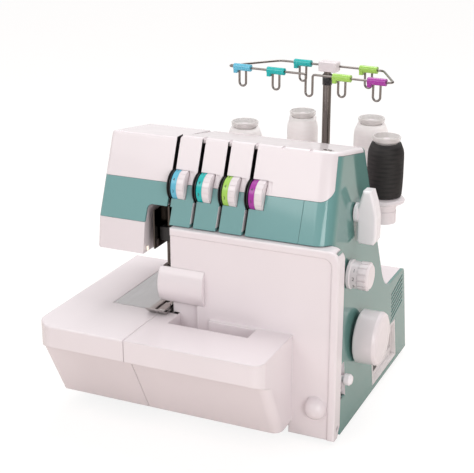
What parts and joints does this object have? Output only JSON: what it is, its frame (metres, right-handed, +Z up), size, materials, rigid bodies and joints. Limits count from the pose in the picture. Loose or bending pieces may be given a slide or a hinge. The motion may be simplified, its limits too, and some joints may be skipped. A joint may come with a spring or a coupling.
{
  "type": "overlock sewing machine",
  "caption": "Overlock sewing machine with a glossy white and mint casing, coloured thread tension dials, a fold-down front cover, a slide-off table and a thread stand with cones.",
  "frame": {"origin": "on the table the machine stands on, under the middle of its overall box", "axes": "+X towards the handwheel side, +Y towards the back, +Z up"},
  "size_m": [0.321, 0.338, 0.3475],
  "materials": {
    "white_gloss": "glossy moulded plastic, warm white",
    "white_satin": "satin moulded plastic, white",
    "mint_gloss": "glossy moulded plastic, grey mint green",
    "black_plastic": "matt moulded plastic, black",
    "grey_plastic": "translucent grey moulded plastic",
    "blue": "glossy moulded plastic, light blue",
    "teal": "glossy moulded plastic, teal",
    "lime": "glossy moulded plastic, lime green",
    "magenta": "glossy moulded plastic, magenta",
    "steel": "machined steel",
    "chrome": "polished chrome plate",
    "casting": "cast aluminium, painted black",
    "bronze": "sintered bronze",
    "motor_steel": "black painted steel can",
    "rubber": "black rubber",
    "white_thread": "wound polyester thread, white",
    "black_thread": "wound polyester thread, black"
  },
  "bodies": {
    "machine": {"base_pan": "white_satin", "rubber_feet": "rubber", "main_frame": "casting", "bed_arm": "steel", "needle_plate": "steel", "upper_casing": "white_gloss", "front_band": "mint_gloss", "side_cover": "mint_gloss", "rear_cover": "white_gloss", "face_cap": "white_gloss", "face_band": "mint_gloss", "face_chin": "white_gloss", "thread_shield": "chrome", "lower_knife": "steel", "tension_posts": "steel", "tension_discs": "black_plastic", "shaft_bushes": "bronze", "motor": "motor_steel", "drive_belt": "rubber", "power_inlet": "white_satin", "spool_stand": "white_gloss", "cone_cups": "white_satin", "cone_cores": "grey_plastic", "white_threads": "white_thread", "black_thread": "black_thread", "mast_tube": "chrome"},
    "drive": {"main_shaft": "steel", "handwheel": "white_gloss", "drive_pulley": "black_plastic"},
    "motor_rotor": {"motor_pulley": "steel"},
    "needle_unit": {"needle_bar": "chrome"},
    "lower_looper_unit": {"lower_looper": "steel"},
    "upper_looper_unit": {"upper_looper": "steel"},
    "knife_unit": {"upper_knife": "steel"},
    "feed_unit": {"feed_dog": "steel"},
    "lifter": {"lifter_lever": "white_gloss"},
    "presser_unit": {"presser_bar": "chrome", "presser_foot": "chrome"},
    "stitch_control": {"stitch_dial": "white_gloss"},
    "feed_control": {"feed_lever": "white_gloss"},
    "switch": {"power_switch": "black_plastic"},
    "cover_rod": {"cover_hinge_rod": "steel"},
    "front_cover": {"looper_cover": "white_gloss", "knife_guard": "white_gloss"},
    "table": {"cloth_table": "white_gloss"},
    "mast_inner": {"mast_rod": "chrome"},
    "thread_guide": {"guide_hub": "white_gloss", "guide_wire": "chrome", "guide_sleeve_blue": "blue", "guide_sleeve_teal": "teal", "guide_sleeve_lime": "lime", "guide_sleeve_magenta": "magenta"},
    "tension_blue": {"tension_dial_blue": "white_gloss", "dial_ring_blue": "blue"},
    "tension_teal": {"tension_dial_teal": "white_gloss", "dial_ring_teal": "teal"},
    "tension_lime": {"tension_dial_lime": "white_gloss", "dial_ring_lime": "lime"},
    "tension_magenta": {"tension_dial_magenta": "white_gloss", "dial_ring_magenta": "magenta"}
  },
  "joints": [
    {"name": "handwheel_turn", "type": "hinge", "parent": "machine", "child": "drive", "pos_m": [0, -0.011, 0.09], "axis": [1, 0, 0], "continuous": true},
    {"name": "motor_turn", "type": "hinge", "parent": "machine", "child": "motor_rotor", "pos_m": [0, 0.112, 0.056], "axis": [1, 0, 0], "continuous": true},
    {"name": "needle_stroke", "type": "slide", "parent": "machine", "child": "needle_unit", "axis": [0, 0, 1], "range_m": [-0.022, 0]},
    {"name": "lower_looper_swing", "type": "hinge", "parent": "machine", "child": "lower_looper_unit", "pos_m": [-0.02, 0, 0.062], "axis": [0, 1, 0], "range_deg": [-12, 0]},
    {"name": "upper_looper_swing", "type": "hinge", "parent": "machine", "child": "upper_looper_unit", "pos_m": [0, 0, 0.07], "axis": [0, 1, 0], "range_deg": [0, 15]},
    {"name": "knife_stroke", "type": "slide", "parent": "machine", "child": "knife_unit", "axis": [0, 0, 1], "range_m": [-0.008, 0]},
    {"name": "feed_stroke", "type": "slide", "parent": "machine", "child": "feed_unit", "axis": [0, 1, 0], "range_m": [-0.003, 0]},
    {"name": "lifter_swing", "type": "hinge", "parent": "machine", "child": "lifter", "pos_m": [0, -0.008, 0.222], "axis": [1, 0, 0], "range_deg": [0, 40]},
    {"name": "presser_lift", "type": "slide", "parent": "machine", "child": "presser_unit", "axis": [0, 0, 1], "range_m": [0, 0.0055]},
    {"name": "stitch_dial_turn", "type": "hinge", "parent": "machine", "child": "stitch_control", "pos_m": [0, -0.034, 0.1656], "axis": [1, 0, 0], "range_deg": [-135, 135]},
    {"name": "feed_lever_swing", "type": "hinge", "parent": "machine", "child": "feed_control", "pos_m": [0, -0.032, 0.06], "axis": [1, 0, 0], "range_deg": [-14, 14]},
    {"name": "power_switch_rock", "type": "hinge", "parent": "machine", "child": "switch", "pos_m": [0.12926, 0.054, 0.033], "axis": [0, 1, 0], "range_deg": [-10, 0]},
    {"name": "cover_slide", "type": "slide", "parent": "machine", "child": "cover_rod", "axis": [1, 0, 0], "range_m": [0, 0.008]},
    {"name": "cover_tilt", "type": "hinge", "parent": "cover_rod", "child": "front_cover", "pos_m": [0, -0.08, 0.016], "axis": [1, 0, 0], "range_deg": [0, 24]},
    {"name": "table_slide", "type": "slide", "parent": "machine", "child": "table", "axis": [-1, 0, 0], "range_m": [0, 0.09]},
    {"name": "mast_raise", "type": "slide", "parent": "machine", "child": "mast_inner", "axis": [0, 0, 1], "range_m": [0, 0.11]},
    {"name": "guide_swivel", "type": "hinge", "parent": "mast_inner", "child": "thread_guide", "pos_m": [0.048, 0.112, 0], "axis": [0, 0, 1], "range_deg": [-90, 90]},
    {"name": "tension_turn_blue", "type": "hinge", "parent": "machine", "child": "tension_blue", "pos_m": [0, -0.061, 0.2439], "axis": [1, 0, 0], "range_deg": [-150, 150]},
    {"name": "tension_turn_teal", "type": "hinge", "parent": "machine", "child": "tension_teal", "pos_m": [0, -0.061, 0.2439], "axis": [1, 0, 0], "range_deg": [-150, 150]},
    {"name": "tension_turn_lime", "type": "hinge", "parent": "machine", "child": "tension_lime", "pos_m": [0, -0.061, 0.2439], "axis": [1, 0, 0], "range_deg": [-150, 150]},
    {"name": "tension_turn_magenta", "type": "hinge", "parent": "machine", "child": "tension_magenta", "pos_m": [0, -0.061, 0.2439], "axis": [1, 0, 0], "range_deg": [-150, 150]}
  ],
  "couplings": [
    {"joint": "motor_turn", "follows": "handwheel_turn", "ratio": 3},
    {"joint": "lower_looper_swing", "follows": "needle_stroke", "rad_per_m": 9.5},
    {"joint": "upper_looper_swing", "follows": "needle_stroke", "rad_per_m": -11.8},
    {"joint": "knife_stroke", "follows": "needle_stroke", "ratio": 0.36},
    {"joint": "feed_stroke", "follows": "needle_stroke", "ratio": 0.13},
    {"joint": "presser_lift", "follows": "lifter_swing", "m_per_rad": 0.00787}
  ]
}
